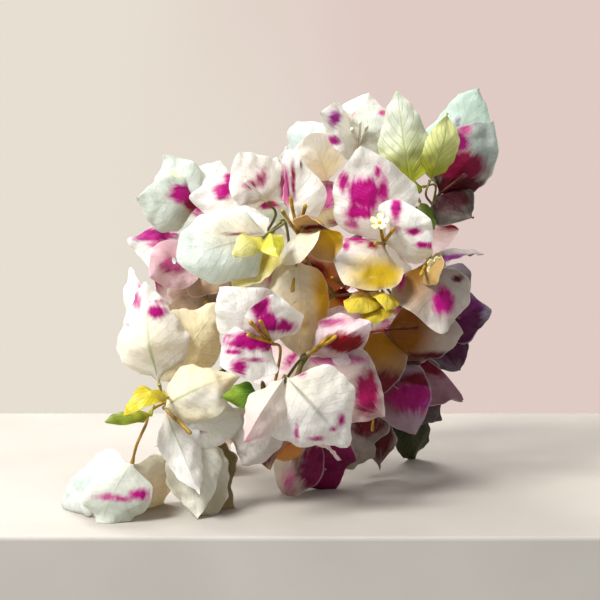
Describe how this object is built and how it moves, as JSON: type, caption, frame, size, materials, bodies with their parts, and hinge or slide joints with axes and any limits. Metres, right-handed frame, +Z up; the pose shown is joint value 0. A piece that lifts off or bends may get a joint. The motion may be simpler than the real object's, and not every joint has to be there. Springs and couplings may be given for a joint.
{
  "type": "bougainvillea flower spray",
  "caption": "Cut flowering branch tip of a variegated bougainvillea: papery white and magenta bracts round slender flower tubes, lying on its own lower blooms.",
  "frame": {"origin": "middle of the spray's box in X and Y, at the level it rests on", "axes": "+X to the right of the face shown, the longest way across; +Y to its back, the shortest; +Z up"},
  "size_m": [0.1936, 0.1564, 0.1842],
  "materials": {
    "bract": "papery, white with magenta patches",
    "wood": "young olive bark",
    "lime_leaf": "soft leaf",
    "pale_leaf": "soft leaf",
    "yellow_leaf": "soft leaf",
    "green_leaf": "soft leaf",
    "dark_leaf": "soft leaf"
  },
  "bodies": {
    "root": {"branch": "wood", "bloom_lantern": "bract", "bloom_magenta": "bract", "bloom_heart": "bract", "bloom_pillow": "bract", "bloom_right": "bract", "bloom_ledge": "bract", "bloom_cream": "bract", "bloom_upright": "bract", "bloom_blush": "bract", "bloom_hanging": "bract", "bloom_shore": "bract", "bloom_slipper": "bract", "bloom_tip": "bract", "bloom_crown": "bract", "bloom_veil": "bract", "bloom_west": "bract", "bloom_stripe": "bract", "bloom_pink": "bract", "bloom_fold": "bract", "bloom_foot": "bract", "bloom_glow": "bract", "bloom_wine": "bract", "bloom_dusk": "bract", "bloom_garnet": "bract", "bloom_ember": "bract", "bloom_shade": "bract", "bloom_back_1": "bract", "bloom_back_2": "bract", "bloom_back_3": "bract", "bloom_back_4": "bract", "bloom_back_5": "bract", "bloom_back_6": "bract", "bloom_back_7": "bract", "bloom_back_8": "bract", "leaf_lime": "lime_leaf", "leaf_pale": "pale_leaf", "leaf_calyx": "lime_leaf", "leaf_drop": "green_leaf", "leaf_gold": "yellow_leaf", "leaf_amber": "yellow_leaf", "leaf_straw": "yellow_leaf", "leaf_primrose": "yellow_leaf", "leaf_sprig": "lime_leaf", "leaf_jade": "green_leaf", "leaf_arc": "yellow_leaf", "leaf_green_tip": "green_leaf", "leaf_moss": "dark_leaf"}
  },
  "joints": []
}
